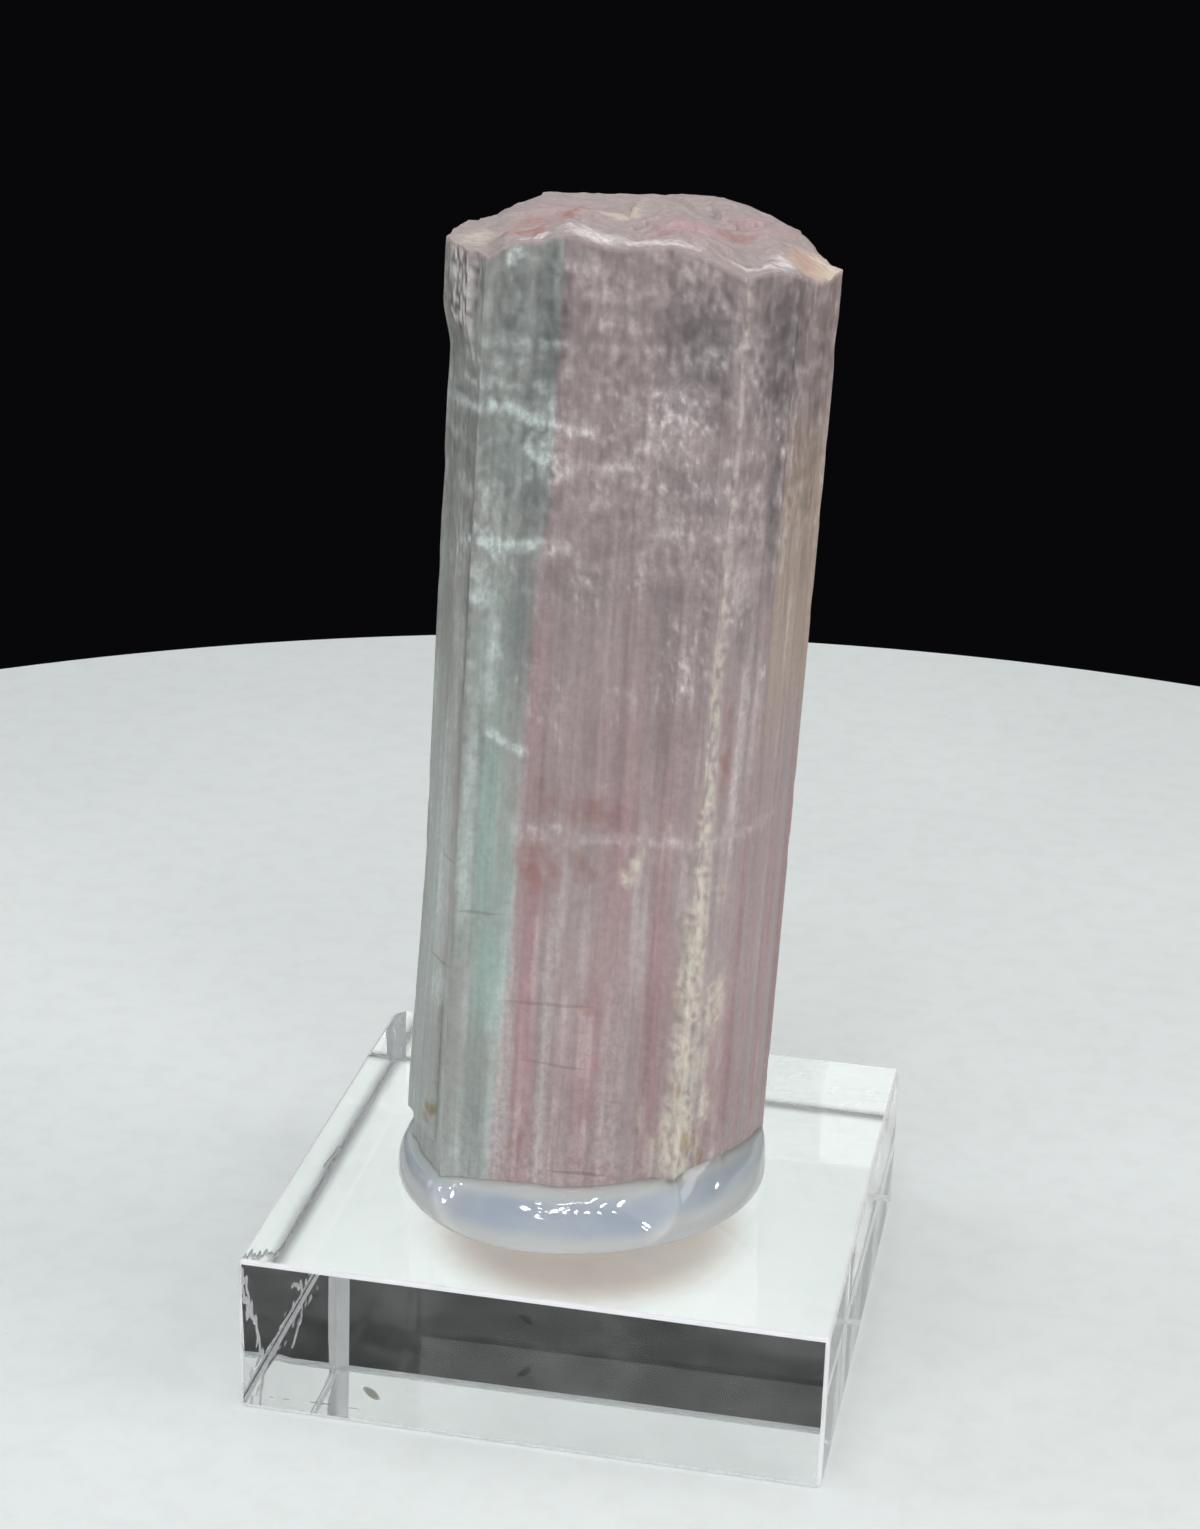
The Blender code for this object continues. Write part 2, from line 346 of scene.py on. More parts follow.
def addNode(tree, kind, inputs=None, **settings):
    made = tree.nodes.new(kind)
    for name, value in settings.items():
        setattr(made, name, value)
    feed(tree, made, inputs or {})
    return made


def calc(tree, operation, first, second=0.0, clamp=False):
    made = addNode(tree, "ShaderNodeMath", {0: first, 1: second}, operation=operation, use_clamp=clamp)
    return made.outputs[0]


def scaled(tree, tone, factor):
    return addNode(tree, "ShaderNodeVectorMath", {0: tone, "Scale": factor}, operation="SCALE").outputs[0]


def ramp(tree, value, low, high, toLow=0.0, toHigh=1.0, smooth=True):
    kind = "SMOOTHSTEP" if smooth else "LINEAR"
    span = {"Value": value, "From Min": low, "From Max": high, "To Min": toLow, "To Max": toHigh}
    return addNode(tree, "ShaderNodeMapRange", span, interpolation_type=kind).outputs["Result"]


def blend(tree, factor, first, second):
    made = addNode(tree, "ShaderNodeMix", data_type="RGBA")
    for socket, value in ((made.inputs["Factor"], factor), (made.inputs[6], first), (made.inputs[7], second)):
        if isinstance(value, bpy.types.NodeSocket):
            tree.links.new(value, socket)
        elif isinstance(value, tuple):
            socket.default_value = (*value, 1.0)
        else:
            socket.default_value = value
    return made.outputs[2]


def grain(tree, vector, scale, stretch=(1.0, 1.0, 1.0), detail=3.0, roughness=0.55, shift=(0.0, 0.0, 0.0)):
    # noise with so many spots to a metre, drawn out along an axis where its stretch is small
    placed = addNode(tree, "ShaderNodeMapping", {"Vector": vector, "Location": shift,
                                                 "Scale": tuple(scale * part for part in stretch)}).outputs[0]
    return addNode(tree, "ShaderNodeTexNoise", {"Vector": placed, "Scale": 1.0, "Detail": detail,
                                                "Roughness": roughness}).outputs["Fac"]


def marks(tree, vector, rows, edge=0.6, across=4.0):
    # the strongest of a few soft spots: (x, y, z, half width, half height, tilt in degrees, strength), in mm
    strongest = None
    for x, y, z, wide, high, tilt, strength in rows:
        spot = addNode(tree, "ShaderNodeMapping", {"Vector": vector, "Location": (x * mm, y * mm, z * mm),
                                                   "Rotation": (0.0, -math.radians(tilt), 0.0),
                                                   "Scale": (wide * mm, across * mm, high * mm)},
                       vector_type="TEXTURE").outputs[0]
        ball = addNode(tree, "ShaderNodeTexGradient", {"Vector": spot}, gradient_type="SPHERICAL")
        level = ramp(tree, ball.outputs["Fac"], 0.0, edge, 0.0, strength)
        strongest = level if strongest is None else calc(tree, "MAXIMUM", strongest, level)
    return strongest


def fromMesh(tree, name):
    return addNode(tree, "ShaderNodeAttribute", attribute_name=name).outputs["Fac"]


def paintLayer(piece, name, levels, domain="POINT"):
    layer = piece.data.attributes.new(name, "FLOAT", domain)
    layer.data.foreach_set("value", np.array(levels, dtype=np.float32))


def addBump(tree, shader, height, distance, strength):
    relief = {"Height": height, "Distance": distance, "Strength": strength}
    feed(tree, shader, {"Normal": addNode(tree, "ShaderNodeBump", relief).outputs[0]})


def addAbsorption(tree, look):
    # tints the light on its way through the piece
    tint = {"Color": (*look["absorption"], 1.0), "Density": look["absorptionDensity"]}
    inside = addNode(tree, "ShaderNodeVolumeAbsorption", tint).outputs[0]
    feed(tree, tree.nodes["Material Output"], {"Volume": inside})


def crystalPlace(tree):
    # Object coordinates turned into the crystal's own: x right, y back, z up its length
    coords = addNode(tree, "ShaderNodeTexCoord").outputs["Object"]
    return addNode(tree, "ShaderNodeMapping",
                   {"Vector": coords, "Location": tuple(part * mm for part in stance["foot"]),
                    "Rotation": (0.0, math.radians(stance["lean"]), math.radians(stance["turn"]))},
                   vector_type="TEXTURE").outputs[0]


tourmaline = {
    "grey": (0.60, 0.535, 0.53),
    "rose": (0.60, 0.33, 0.35),
    "peach": (0.80, 0.62, 0.48),
    "sage": (0.56, 0.57, 0.54),
    "mint": (0.50, 0.76, 0.68),
    "smoke": (0.20, 0.20, 0.21),
    "tealSmoke": (0.17, 0.23, 0.23),
    "veil": (0.86, 0.79, 0.78),
    "tealVeil": (0.74, 0.83, 0.80),
    "rust": (0.45, 0.20, 0.17),
    "crust": (0.70, 0.65, 0.545),
    "broken": (0.42, 0.35, 0.34),
    "crack": (0.20, 0.15, 0.15),
    "ochre": (0.40, 0.30, 0.14),
    "ior": 1.63,
    "absorption": (0.80, 0.70, 0.70),
    "absorptionDensity": 18.0,
}

# where the green side ends: (height, x), in mm
greenEdge = [(-1.0, -6.1), (1.3, -6.08), (9.1, -5.81), (15.7, -5.4), (22.0, -5.45), (28.8, -5.35),
             (34.9, -5.34), (39.6, -5.2), (43.1, -4.6), (47.7, -4.63), (54.3, -4.7), (58.0, -4.7)]

# soft markings on the front, each a spot: (x, height, half width, half height, strength), in mm
markings = {
    "rose": [(-4.2, 9.0, 0.9, 11.0, 0.55), (-1.9, 8.0, 0.7, 9.0, 0.45), (-0.7, 7.5, 0.9, 9.0, 0.8),
             (3.2, 8.0, 1.7, 14.0, 0.45), (-4.2, 18.5, 1.1, 5.0, 0.5), (9.4, 14.0, 1.3, 18.0, 0.6),
             (8.9, 26.0, 0.9, 9.0, 0.4), (-4.6, 30.0, 0.6, 8.0, 0.35), (-4.3, 1.4, 1.8, 1.4, 0.7),
             (-0.5, 1.6, 3.4, 1.1, 0.7), (1.2, 27.0, 5.0, 7.0, 0.3), (7.5, 8.0, 1.5, 6.0, 0.4)],
    "mint": [(-6.6, 14.0, 0.9, 4.6, 0.9), (-7.1, 24.0, 0.8, 9.0, 0.7), (-6.1, 18.5, 0.5, 6.0, 0.6),
             (-8.35, 22.0, 0.5, 8.0, 0.5), (-7.4, 33.0, 1.3, 7.0, 0.45), (-6.8, 46.0, 1.8, 3.0, 0.3),
             (-6.9, 5.0, 1.3, 5.0, 0.15)],
    "pale": [(-5.6, 10.0, 0.75, 10.0, 0.6), (-3.1, 9.0, 0.42, 10.0, 0.55), (0.95, 8.0, 0.8, 9.0, 0.4),
             (7.0, 31.0, 0.35, 5.5, 0.6), (6.9, 25.3, 0.45, 2.6, 0.6), (2.2, 17.0, 0.35, 4.5, 0.4),
             (4.3, 20.0, 0.3, 3.5, 0.5), (-9.4, 33.0, 0.32, 4.0, 0.6), (-9.75, 21.0, 0.45, 9.5, 0.75),
             (-8.35, 23.0, 0.5, 8.0, 0.75), (-9.6, 12.3, 0.42, 1.5, 0.9), (-2.6, 18.0, 0.3, 4.0, 0.45),
             (-1.2, 16.0, 0.3, 5.0, 0.4), (-3.3, 56.2, 0.8, 0.9, 0.5), (-4.2, 50.5, 0.5, 0.6, 0.5),
             (-0.7, 45.6, 0.9, 0.6, 0.5), (3.3, 49.4, 0.4, 0.9, 0.4), (3.5, 33.8, 0.2, 1.1, 0.9),
             (3.95, 32.6, 0.18, 1.3, 0.7), (-4.6, 23.4, 0.38, 0.5, 0.9), (-3.2, 23.6, 0.3, 0.4, 1.0),
             (-5.6, 23.2, 0.45, 0.9, 0.6), (-8.5, 38.5, 0.55, 0.8, 0.8), (-8.3, 37.1, 0.6, 0.7, 0.9),
             (-7.4, 35.4, 0.6, 0.6, 0.7), (-7.2, 34.2, 0.5, 0.8, 0.7), (-7.6, 31.6, 0.5, 1.4, 0.5),
             (-7.3, 29.2, 0.5, 0.5, 0.7), (1.9, 47.8, 2.2, 3.0, 0.25), (1.4, 43.6, 1.6, 2.2, 0.3),
             (6.3, 39.0, 0.7, 1.8, 0.5), (6.6, 44.0, 0.5, 1.0, 0.4), (-7.35, 56.7, 0.6, 0.6, 1.2)],
    "smoke": [(3.0, 52.6, 2.6, 3.6, 0.62), (2.6, 49.3, 2.2, 1.6, 0.45), (3.1, 44.2, 1.8, 1.8, 0.35),
              (7.3, 52.0, 1.5, 4.8, 0.7), (7.75, 44.0, 0.3, 6.0, 0.85), (-5.3, 53.2, 0.9, 4.6, 0.75),
              (-7.1, 52.8, 0.7, 4.0, 0.45), (-5.6, 43.6, 1.0, 3.4, 0.55), (-7.1, 44.0, 0.5, 3.0, 0.4),
              (-6.0, 35.5, 0.9, 5.5, 0.5), (-9.0, 30.0, 0.22, 16.0, 0.4), (2.5, 33.5, 1.3, 8.0, 0.35),
              (-2.7, 38.4, 2.4, 1.5, 0.35), (-8.5, 49.0, 0.5, 5.0, 0.3), (-5.4, 48.8, 1.6, 0.6, 0.4),
              (-9.1, 55.6, 0.2, 1.8, 0.9), (6.6, 36.5, 0.5, 2.0, 0.4), (-7.0, 6.0, 0.6, 8.0, 0.25),
              (9.7, 50.0, 0.3, 9.0, 0.25), (-5.2, 47.1, 1.1, 0.35, 0.7)],
    "rust": [(-3.9, 25.6, 0.9, 1.5, 0.6), (-0.9, 25.0, 2.0, 1.1, 0.6), (-3.9, 21.0, 1.4, 1.8, 0.7),
             (-1.3, 21.5, 1.4, 1.1, 0.65), (-5.0, 21.5, 0.5, 1.2, 0.4), (6.2, 29.3, 0.32, 3.6, 0.7),
             (-4.1, 3.3, 0.65, 0.9, 0.6), (6.1, 4.2, 0.5, 1.0, 0.8),
             (6.9, 13.6, 0.5, 1.4, 0.3), (-0.3, 12.6, 1.0, 0.6, 0.4), (5.0, 15.0, 1.5, 5.0, 0.25)],
    "crust": [(5.1, 19.0, 0.6, 3.0, 0.9), (4.9, 15.2, 0.65, 2.2, 1.0), (4.75, 10.5, 0.55, 2.8, 0.85),
              (4.7, 4.8, 0.8, 3.6, 1.0), (6.6, 6.6, 0.5, 1.5, 1.0), (6.1, 4.2, 0.5, 1.0, 0.7),
              (6.75, 13.2, 0.7, 2.8, 0.85), (6.3, 9.5, 0.45, 1.6, 0.8), (6.5, 20.4, 0.5, 1.2, 0.5),
              (1.0, 21.0, 0.6, 0.5, 1.0), (1.5, 21.9, 0.45, 0.6, 1.0), (1.8, 22.8, 0.25, 0.6, 0.9),
              (2.9, 5.8, 0.3, 1.7, 0.7), (3.6, 3.3, 0.4, 1.6, 0.7)],
}

# the same on the broken end: (x, y, half width, half depth, strength), in mm
endMarkings = {
    "rose": [(1.9, -2.0, 2.6, 3.2, 0.42), (6.3, 2.5, 2.0, 2.5, 0.3), (-4.5, 2.5, 2.5, 3.0, 0.25)],
    "peach": [(9.6, -1.8, 2.0, 3.4, 0.9), (8.6, -3.6, 1.0, 1.4, 0.6), (-1.8, 2.2, 1.5, 1.2, 0.5)],
    "crust": [(-1.8, 2.2, 1.4, 1.0, 0.6), (9.9, -1.2, 0.9, 2.6, 0.35), (-9.6, -2.0, 1.2, 2.0, 0.6)],
    "pale": [(7.2, -4.4, 0.6, 1.6, 1.0), (-3.0, -4.6, 1.9, 2.2, 1.0), (-6.2, -4.6, 0.8, 0.9, 1.0),
             (0.2, -6.3, 2.4, 0.8, 0.9), (5.6, -6.2, 1.6, 0.7, 0.8)],
    "smoke": [(4.7, 0.0, 1.1, 0.7, 0.35), (-8.9, -2.6, 0.5, 1.2, 0.6)],
    "rust": [(-7.2, -2.2, 1.9, 1.0, 0.9), (-6.6, 0.5, 1.4, 0.8, 0.5), (8.6, -1.8, 1.2, 2.0, 0.4),
             (4.7, 0.0, 1.2, 0.8, 0.6), (-6.2, -3.0, 0.5, 1.1, 0.7), (-5.4, -1.0, 0.5, 1.2, 0.7),
             (-4.6, 1.2, 0.5, 1.4, 0.7), (-3.9, 3.6, 0.5, 1.5, 0.6)],
}


def softSpots(rows, across, along):
    # the strongest of several soft-edged spots at each point
    level = np.zeros(len(across))
    for middle, height, wide, high, strength in rows:
        reach = np.sqrt(((across - middle) / wide) ** 2 + ((along - height) / high) ** 2)
        level = np.maximum(level, strength * ease(1.35 - reach))
    return level


# the noises that mottle the crystal: spots to a millimetre along x, y and z, and a seed
mottling = {
    "cloud": ((0.42, 0.42, 0.30), 11.0),
    "wisps": ((0.30, 0.30, 1.15), 23.0),
    "torn": ((1.5, 1.5, 1.1), 37.0),
    "fine": ((3.2, 3.2, 2.2), 41.0),
    "fuzz": ((2.6, 2.6, 1.6), 71.0),
}
# the same for its streaks, counted along the outline and up the walls
streaking = {
    "bands": ((0.75, 0.016, 1.0), 53.0),
    "strands": ((1.9, 0.055, 1.0), 59.0),
    "threads": ((4.0, 0.22, 1.0), 61.0),
}


def noiseOver(points, scale, seed):
    # signed noise at every point, with its own number of spots to a millimetre along each axis
    placed = points * np.array(scale) + seed
    return np.array([noise.noise(Vector(place)) for place in placed])


def paintMasks(piece, points, walked):
    # paints where each of the crystal's tones lies; points are in its own millimetres
    x, y, z = points.T
    front = ease((-y - 0.5) / 3.0)
    around = np.column_stack([walked, z, np.zeros(len(z))])
    cloud, wisps, torn, fine, fuzz = (noiseOver(points, *row) for row in mottling.values())
    bands, strands, threads = (noiseOver(around, *row) for row in streaking.values())
    top = breakMask(points, piece)
    high = ease((z - 34.0) / 10.0)
    low = 1.0 - ease((z - 18.0) / 14.0)

    pushedX = x + 0.22 * torn + 0.10 * fine
    pushedZ = z + 0.35 * torn + 0.20 * fine
    spots = {name: softSpots(rows, pushedX, pushedZ) * front * (1.0 - top) for name, rows in markings.items()}
    ends = {name: softSpots(rows, x + 0.5 * torn, y + 0.5 * fine) * top for name, rows in endMarkings.items()}
    edge = np.interp(z, [row[0] for row in greenEdge], [row[1] for row in greenEdge])
    green = ease((edge - x + 0.28 * strands + 0.15 * fine) / 0.5 + 0.5)

    # what the explicit spots leave out comes from noise, all the way round
    upper = 0.3 + 0.7 * high
    rose = (0.20 + 0.30 * low) * ease(0.5 + 1.6 * bands) * (1.0 - 0.6 * front) + 0.18 * low * bands
    rose = (rose + 0.55 * spots["rose"]) * (1.0 - 0.6 * high) + 0.26
    mint = 0.7 * spots["mint"] + 0.3 * low * ease(0.3 - 2.0 * bands)
    mint += 0.40 * (1.0 - front) * ease(0.5 - 1.5 * bands)
    haze = 0.65 * high * np.maximum(0.0, wisps) * ease(0.55 + 1.3 * fuzz)
    haze += 0.24 * np.maximum(0.0, cloud) * (0.4 + 0.6 * high) + 0.16 * high * np.maximum(0.0, torn + fine)
    lines = 0.27 * ease((strands - 0.22) * 3.2) * (0.25 + 0.75 * ease(0.5 + 3.0 * cloud))
    lines *= 1.0 - 0.75 * high
    crossLine = np.exp(-((z - 23.3 - 0.07 * x) / 0.28) ** 2) * ease(x + 6.4) * ease(0.75 + 1.6 * torn)
    streak = softStreaks(x, z + 0.14 * torn + 0.10 * fine) * ease(0.85 + 1.0 * fuzz)
    pale = np.maximum(0.6 * spots["pale"], 0.40 * crossLine * front) + haze + lines + 0.95 * streak * front
    pale += 0.34 * (1.0 - ease(z / 8.0)) + 0.30 * np.maximum(0.0, fuzz) * upper
    middle = ease((z - 24.0) / 6.0) * (1.0 - ease((z - 49.0) / 5.0)) * front
    pale += 0.40 * middle * ease((fine - 0.30) * 5.0) * ease(0.4 + 1.6 * cloud)
    smoke = 0.68 * spots["smoke"] + 0.30 * high * np.maximum(0.0, -wisps - 0.1)
    smoke += 0.12 * np.maximum(0.0, -cloud) + 0.32 * np.maximum(0.0, -fuzz) * upper
    smoke += 0.15 * ease((-0.25 - strands) * 3.0) * (1.0 - 0.6 * high)

    # the crusted seam follows the right front corner
    seam = ease(1.15 - np.abs(pushedX - 5.35 - 0.10 * torn) / np.interp(z, [8.0, 36.0], [1.15, 0.38]))
    seam *= ease(0.50 + 0.32 * low + 1.45 * (fine + 0.5 * torn)) * front * (0.55 + 0.45 * (1.0 - high))
    crust = np.maximum(seam, spots["crust"] * ease(0.85 + 1.2 * fine))
    ridge = 0.6 * ease(1.2 - np.abs(x - 5.35) / 0.26) * front * ease(0.7 + 1.6 * torn)
    pale = np.maximum(pale, ridge)

    # the battered strip at the upper left
    battered = ease((-8.9 - pushedX + 0.10 * (z - 56.0)) / 0.5) * ease((pushedZ - 50.8) / 1.5) * front
    pale = np.maximum(pale, battered * ease(0.30 + 2.6 * (fuzz + 0.4 * fine)))
    smoke = np.maximum(smoke, battered * ease(0.10 - 2.6 * (fuzz + 0.4 * fine)))

    # the bright lip of the broken end, and the peach strip up the right side
    lip = ease(1.3 - np.abs(top - 0.45) / 0.40) * ease(0.55 + 1.6 * torn)
    peach = ease((x - 8.1) / 0.4) * ease((z - 26.0) / 8.0) * ease((2.0 - y) / 2.0)
    peach *= 1.0 - 0.8 * ease((z - 45.0) / 4.0)
    body = 1.0 - top
    mottle = np.maximum(0.0, fuzz)
    masks = {
        "green": green * (1.0 - 0.75 * top) * (1.0 - 0.7 * battered),
        "rose": rose * body + ends["rose"],
        "peach": 0.72 * peach * body + ends["peach"],
        "mint": mint * body,
        "pale": pale * body + 0.75 * ends["pale"] + 0.42 * lip * front + 0.22 * top * mottle,
        "smoke": smoke * body + ends["smoke"] + 0.20 * top * np.maximum(0.0, -torn - 0.1),
        "rust": (spots["rust"] * ease(0.6 + torn)) * body + ends["rust"],
        "crust": crust * body + ends["crust"],
        "broken": np.maximum(top, 0.6 * battered),
        "strand": 0.5 + 0.5 * (strands + 0.7 * threads) * body * (1.0 - 0.45 * high),
    }
    for name, level in masks.items():
        paintLayer(piece, name, np.clip(level, 0.0, 1.0))


def breakMask(points, piece):
    # 1 on the broken end, 0 on the walls, soft over the rim
    normals = np.zeros(len(points) * 3)
    piece.data.vertex_normals.foreach_get("vector", normals)
    return ease((normals.reshape(-1, 3)[:, 2] - 0.30) / 0.25) * (points[:, 2] > 50.0)


# pale streaks across the front: x and height of one end and of the other, half thickness, strength (mm)
crossStreaks = [(-10.4, 47.5, -7.7, 48.2, 0.28, 0.7), (-7.9, 48.3, -4.4, 47.2, 0.42, 1.0),
                (-4.5, 47.3, -2.6, 47.2, 0.3, 0.6), (-9.9, 49.2, -5.4, 49.5, 0.24, 0.4),
                (-9.4, 40.2, -3.6, 40.4, 0.36, 0.75), (-7.0, 28.8, -5.5, 28.2, 0.28, 0.9),
                (-8.8, 51.5, -4.6, 51.9, 0.3, 0.3), (-4.3, 44.9, 0.5, 45.6, 0.3, 0.35),
                (-6.0, 46.0, -4.5, 45.6, 0.5, 0.5)]


def softStreaks(x, z):
    level = np.zeros(len(x))
    for startX, startZ, endX, endZ, thick, strength in crossStreaks:
        run = np.hypot(endX - startX, endZ - startZ)
        along = ((x - startX) * (endX - startX) + (z - startZ) * (endZ - startZ)) / run
        aside = ((z - startZ) * (endX - startX) - (x - startX) * (endZ - startZ)) / run
        past = np.maximum(0.0, np.maximum(-along, along - run))
        level = np.maximum(level, strength * ease(1.3 - np.hypot(aside / thick, past / 0.5)))
    return level


# hairline cracks: (x, y, height, half length, half thickness, tilt in degrees, strength), in mm
hairCracks = [(-7.4, -6.6, 17.8, 1.6, 0.14, 3, 0.33), (-9.6, -5.0, 13.8, 0.9, 0.13, 2, 0.4),
              (-3.0, -7.1, 12.5, 3.2, 0.16, 3, 0.32), (-2.4, -7.2, 8.6, 2.6, 0.12, -3, 0.3),
              (-9.3, -6.0, 20.5, 0.7, 0.09, 0, 0.4), (-0.6, -7.5, 1.6, 2.4, 0.16, 2, 0.4)]
# ochre stains low on the left side and in the crusted seam
ochreStain = [(-9.75, -5.0, 4.0, 0.62, 0.55, 20, 0.85), (-10.0, -4.6, 3.2, 0.35, 0.5, 0, 0.5),
              (5.6, -8.2, 4.4, 0.35, 1.0, 0, 0.6), (6.6, -7.6, 3.0, 0.32, 0.9, 0, 0.6),
              (5.0, -8.6, 7.8, 0.24, 0.8, 0, 0.5)]


def tourmalineMaterial():
    look = tourmaline
    material, tree, shader = newMaterial("tourmaline")
    place = crystalPlace(tree)
    green, rose, mint, pale = (fromMesh(tree, name) for name in ("green", "rose", "mint", "pale"))
    smoke, rust, crust = (fromMesh(tree, name) for name in ("smoke", "rust", "crust"))
    broken, strand, peach = (fromMesh(tree, name) for name in ("broken", "strand", "peach"))

    # finer than the mesh: fibres that run up the crystal, and a crumb in crust and breaks
    fibres = grain(tree, place, 4300.0, (1.0, 1.0, 0.035), 1.0, 0.6)
    crumb = grain(tree, place, 2600.0, (1.0, 1.0, 0.8), 2.0, 0.7, (9.0, 0.0, 4.0))
    whole = calc(tree, "SUBTRACT", 1.0, broken, True)
    pale = calc(tree, "MULTIPLY", pale, ramp(tree, crumb, 0.3, 0.7, 0.72, 1.28), True)

    pinkTone = blend(tree, rose, look["grey"], look["rose"])
    greenTone = blend(tree, mint, look["sage"], look["mint"])
    tone = blend(tree, green, pinkTone, greenTone)
    tone = blend(tree, broken, tone, blend(tree, rose, look["broken"], look["rose"]))
    tone = blend(tree, peach, tone, look["peach"])
    tone = blend(tree, smoke, tone, blend(tree, green, look["smoke"], look["tealSmoke"]))
    tone = blend(tree, pale, tone, blend(tree, green, look["veil"], look["tealVeil"]))
    tone = blend(tree, rust, tone, look["rust"])
    crusted = calc(tree, "MULTIPLY", crust, ramp(tree, crumb, 0.30, 0.55, 0.55, 1.0))
    tone = blend(tree, crusted, tone, look["crust"])
    crackMask = marks(tree, place, hairCracks, 0.5)
    tone = blend(tree, crackMask, tone, look["crack"])
    tone = blend(tree, marks(tree, place, ochreStain, 0.6, 1.5), tone, look["ochre"])
    fine = calc(tree, "MULTIPLY", ramp(tree, fibres, 0.3, 0.7, -0.042, 0.036), whole)
    # the tone made darker and lighter in vertical streaks along the strands, with the fibres and the crumb
    streakLevel = calc(tree, "ADD", ramp(tree, strand, 0.2, 0.8, 0.93, 1.06), fine)
    streakLevel = calc(tree, "ADD", streakLevel, ramp(tree, crumb, 0.3, 0.7, -0.07, 0.07))
    tone = scaled(tree, tone, streakLevel)

    # how clear it is: least in veils, crust and breaks
    solid = calc(tree, "MAXIMUM", calc(tree, "MAXIMUM", calc(tree, "MULTIPLY", pale, 0.8), crust), broken)
    clear = calc(tree, "ADD", calc(tree, "MULTIPLY", smoke, 0.2), 0.46)
    clear = calc(tree, "MULTIPLY", clear, ramp(tree, solid, 0.0, 1.0, 1.0, 0.12, False), True)
    rough = ramp(tree, strand, 0.3, 0.7, 0.31, 0.42)
    rough = calc(tree, "ADD", rough, calc(tree, "MULTIPLY", solid, 0.3), True)
    feed(tree, shader, {"Base Color": tone, "Transmission Weight": clear, "Roughness": rough,
                        "IOR": look["ior"], "Subsurface Weight": 0.35, "Subsurface Radius": (1.0, 0.7, 0.7),
                        "Subsurface Scale": 1.2 * mm})
    scratches = grain(tree, place, 2400.0, (1.0, 1.0, 0.05), 1.0, 0.7, (2.0, 6.0, 1.0))
    addBump(tree, shader, scratches, 0.06 * mm, calc(tree, "MULTIPLY", whole, 0.7))
    addAbsorption(tree, look)
    return material


# The mineral tack: a soft bead pressed down by the crystal, drawn up against it where it climbs

tackShape = {
    "centre": (-0.5, -0.7),
    "floor": 10.004,
    # how far the bead reaches from its centre and how high it climbs over the block: (degrees, mm)
    "reach": [(-180, 11.0), (-168, 11.3), (-156, 11.6), (-144, 11.55), (-129, 11.8), (-112, 12.15),
              (-98, 11.95), (-82, 11.55), (-63, 11.3), (-46, 11.25), (-32, 11.2), (-14, 11.3), (0, 11.4),
              (18, 11.65), (60, 11.2), (100, 10.9), (150, 10.9), (180, 11.0)],
    "climb": [(-180, 2.3), (-163, 1.95), (-131, 1.95), (-114, 2.15), (-100, 2.1), (-79, 2.15), (-65, 2.55),
              (-58, 2.95), (-49, 3.25), (-38, 3.8), (-27, 3.97), (-17, 3.75), (-1, 3.05), (9, 2.95),
              (60, 2.8), (120, 2.9), (160, 2.6), (180, 2.3)],
    # the bead's section: share of the way out from the crystal, share of the climb where the bead is narrow,
    # and where it is wide
    "section": [(0.955, 0.0, 0.0), (0.980, 0.03, 0.02), (0.995, 0.09, 0.045), (1.0, 0.18, 0.075),
                (0.985, 0.30, 0.105), (0.955, 0.42, 0.14), (0.905, 0.54, 0.18), (0.84, 0.64, 0.23),
                (0.76, 0.735, 0.295), (0.67, 0.82, 0.37), (0.58, 0.88, 0.455), (0.49, 0.925, 0.55),
                (0.40, 0.955, 0.66), (0.31, 0.975, 0.775), (0.21, 0.99, 0.885), (0.10, 0.995, 0.96),
                (0.0, 0.98, 0.98)],
    "wideFrom": 1.6,
    "wideBy": 1.6,
    "bead": 2.25,
    "drawn": 1.6,
    "unevenness": 0.04,
    "pocketDepth": 1.0,
    "hug": 0.015,
    # the bead is bluish between these shares of the way out from the crystal, and lighter beyond them: milky,
    # and partly painted light
    "clearBand": (0.08, 0.97),
    "clearFade": 0.30,
}


def aroundLevel(rows, turn):
    # a value read from rows by direction, softened over a few degrees
    total = 0.0
    for step in range(-4, 5):
        angle = (turn + 3.0 * step + 180.0) % 360.0 - 180.0
        total += np.interp(angle, [row[0] for row in rows], [row[1] for row in rows])
    return total / 9.0


